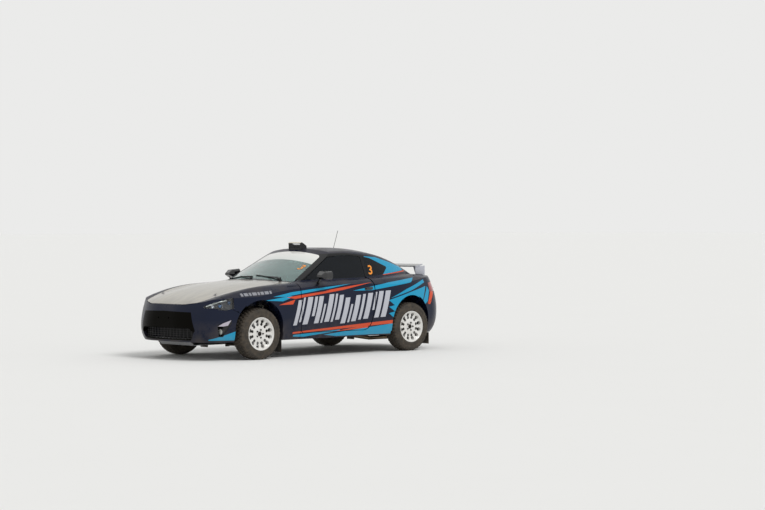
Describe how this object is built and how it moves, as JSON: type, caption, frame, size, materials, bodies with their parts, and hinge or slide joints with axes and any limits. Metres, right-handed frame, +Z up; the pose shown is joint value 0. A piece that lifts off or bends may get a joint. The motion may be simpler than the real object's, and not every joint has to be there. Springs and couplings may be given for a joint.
{
  "type": "two-door rally coupe",
  "caption": "Two-door gravel rally coupe on wheels that steer and roll, with opening doors, bonnet and boot lid, a roll cage and bucket seats.",
  "frame": {"origin": "on the floor under the middle of the car's length and width", "axes": "+X towards the tail, +Y towards the car's right-hand side, +Z up"},
  "size_m": [4.2408, 1.9954, 1.575],
  "materials": {
    "body_paint": "gloss metallic paint, dark blue",
    "bonnet_paint": "gloss metallic paint, dark blue, dusty",
    "panel_paint": "gloss metallic paint, dark blue, with cyan and orange stripes",
    "screen_glass": "clear laminated glass",
    "side_glass": "dark tinted glass",
    "lamp_lens": "clear lamp cover over chrome",
    "tail_lens": "red lens",
    "black_plastic": "grained black plastic",
    "white_paint": "white paint on cast aluminium",
    "tyre_rubber": "gravel tyre rubber with dust",
    "steel": "bare and coated steel",
    "cast_iron": "cast iron",
    "aluminium": "cast aluminium",
    "exhaust_steel": "heat-stained stainless steel",
    "cage_paint": "light grey paint on steel tube",
    "seat_fabric": "black woven seat cover on a glass-fibre shell",
    "dash_plastic": "matt black moulding",
    "leather": "black suede-like leather",
    "flap_rubber": "flexible flap sheet"
  },
  "bodies": {
    "body": {"body_shell": "body_paint", "front_bumper": "panel_paint", "rear_bumper": "panel_paint", "wing_left": "panel_paint", "wing_right": "panel_paint", "quarter_glass": "side_glass", "windscreen": "screen_glass", "rear_screen": "screen_glass", "headlamps": "lamp_lens", "tail_lamps": "tail_lens", "grille": "black_plastic", "fog_lamps": "black_plastic", "roof_vent": "black_plastic", "aerial": "black_plastic", "engine_block": "aluminium", "radiator": "aluminium", "sump_guard": "aluminium", "front_suspension": "steel", "rear_suspension": "steel", "driveline": "steel", "exhaust": "exhaust_steel", "roll_cage": "cage_paint", "seats": "seat_fabric", "dashboard": "dash_plastic", "mud_flaps": "flap_rubber"},
    "bonnet": {"bonnet": "bonnet_paint"},
    "boot_lid": {"boot_lid": "panel_paint", "rear_spoiler": "black_plastic"},
    "steering_wheel": {"steering_wheel": "leather"},
    "door_left": {"door_left": "panel_paint", "door_glass_left": "side_glass", "mirror_left": "black_plastic"},
    "knuckle_left": {"knuckle_left": "cast_iron"},
    "wheel_front_left": {"tyre_front_left": "tyre_rubber", "rim_front_left": "white_paint"},
    "wheel_rear_left": {"tyre_rear_left": "tyre_rubber", "rim_rear_left": "white_paint"},
    "door_right": {"door_right": "panel_paint", "door_glass_right": "side_glass", "mirror_right": "black_plastic"},
    "knuckle_right": {"knuckle_right": "cast_iron"},
    "wheel_front_right": {"tyre_front_right": "tyre_rubber", "rim_front_right": "white_paint"},
    "wheel_rear_right": {"tyre_rear_right": "tyre_rubber", "rim_rear_right": "white_paint"}
  },
  "joints": [
    {"name": "steering_wheel_turn", "type": "hinge", "parent": "body", "child": "steering_wheel", "pos_m": [-0.225, 0.362, 0.855], "axis": [0.9272, 0, 0.3746], "range_deg": [-429, 429]},
    {"name": "steer_left", "type": "hinge", "parent": "body", "child": "knuckle_left", "pos_m": [-1.283, -0.715, 0.205], "axis": [0.0689, 0.2051, 0.9763], "range_deg": [-33, 33]},
    {"name": "door_left_swing", "type": "hinge", "parent": "body", "child": "door_left", "pos_m": [-0.604, -0.864, 0.6], "axis": [0, 0, -1], "range_deg": [0, 65]},
    {"name": "steer_right", "type": "hinge", "parent": "body", "child": "knuckle_right", "pos_m": [-1.283, 0.715, 0.205], "axis": [0.0689, -0.2051, 0.9763], "range_deg": [-33, 33]},
    {"name": "door_right_swing", "type": "hinge", "parent": "body", "child": "door_right", "pos_m": [-0.604, 0.864, 0.6], "axis": [0, 0, 1], "range_deg": [0, 65]},
    {"name": "bonnet_lift", "type": "hinge", "parent": "body", "child": "bonnet", "pos_m": [-0.68, 0, 0.964], "axis": [0, 1, 0], "range_deg": [0, 50]},
    {"name": "boot_lid_lift", "type": "hinge", "parent": "body", "child": "boot_lid", "pos_m": [1.6, 0, 1.076], "axis": [0, -1, 0], "range_deg": [0, 70]},
    {"name": "spin_front_left", "type": "hinge", "parent": "knuckle_left", "child": "wheel_front_left", "pos_m": [-1.275, -0.765, 0.317], "axis": [0, 1, 0], "continuous": true},
    {"name": "spin_front_right", "type": "hinge", "parent": "knuckle_right", "child": "wheel_front_right", "pos_m": [-1.275, 0.765, 0.317], "axis": [0, 1, 0], "continuous": true},
    {"name": "spin_rear_left", "type": "hinge", "parent": "body", "child": "wheel_rear_left", "pos_m": [1.295, -0.765, 0.317], "axis": [0, 1, 0], "continuous": true},
    {"name": "spin_rear_right", "type": "hinge", "parent": "body", "child": "wheel_rear_right", "pos_m": [1.295, 0.765, 0.317], "axis": [0, 1, 0], "continuous": true}
  ],
  "couplings": [
    {"joint": "steer_left", "follows": "steering_wheel_turn", "ratio": 0.076923},
    {"joint": "steer_right", "follows": "steering_wheel_turn", "ratio": 0.076923}
  ]
}
